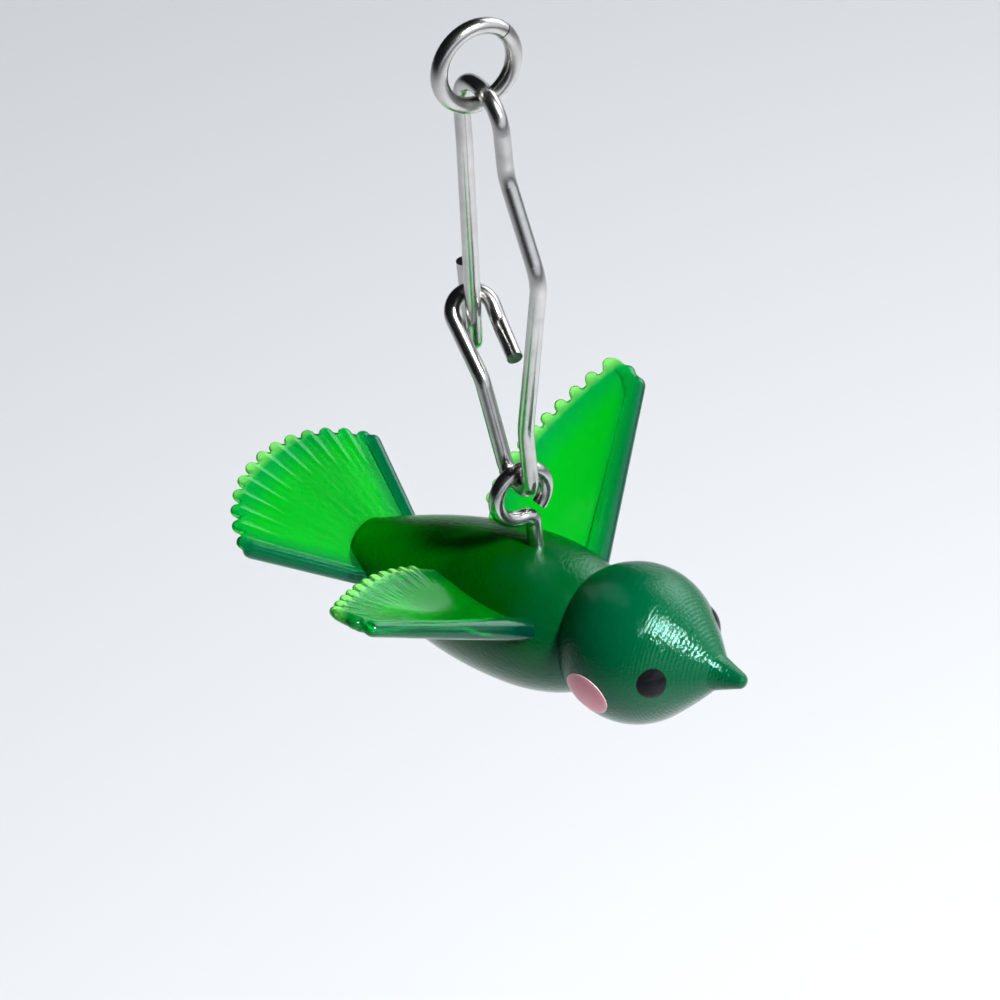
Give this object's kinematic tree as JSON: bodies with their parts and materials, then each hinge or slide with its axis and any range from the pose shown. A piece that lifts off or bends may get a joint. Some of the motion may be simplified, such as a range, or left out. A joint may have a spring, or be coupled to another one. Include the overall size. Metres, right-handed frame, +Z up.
{
  "type": "bird charm",
  "caption": "Small translucent green resin bird with raised wings and a fan tail, hung by an eye pin from a bent-wire snap and a jump ring.",
  "frame": {"origin": "inside top of the jump ring, the point that the charm hangs from", "axes": "+Z up along the hanging line, +X the way the bird faces, +Y to the bird's left; everything hangs plumb under the origin"},
  "size_m": [0.0296, 0.0244, 0.0379],
  "materials": {
    "green_resin": "gloss",
    "thin_resin": "gloss",
    "black_bead": "gloss",
    "pink_inlay": "satin",
    "steel_wire": "polished"
  },
  "bodies": {
    "hanger": {"jump_ring": "steel_wire"},
    "snap": {"snap": "steel_wire"},
    "bird": {"torso": "green_resin", "head": "green_resin", "left_wing": "thin_resin", "right_wing": "thin_resin", "tail_fan": "thin_resin", "left_eye": "black_bead", "right_eye": "black_bead", "left_cheek": "pink_inlay", "right_cheek": "pink_inlay", "eye_pin": "steel_wire"}
  },
  "joints": [
    {"name": "snap_swing", "type": "hinge", "parent": "hanger", "child": "snap", "pos_m": [0, 0, -0.0036], "axis": [0.3907, 0.9205, 0], "range_deg": [-50, 50]},
    {"name": "bird_swing", "type": "hinge", "parent": "snap", "child": "bird", "pos_m": [0, 0, -0.02555], "axis": [0.9205, -0.3907, 0], "range_deg": [-60, 60]}
  ]
}
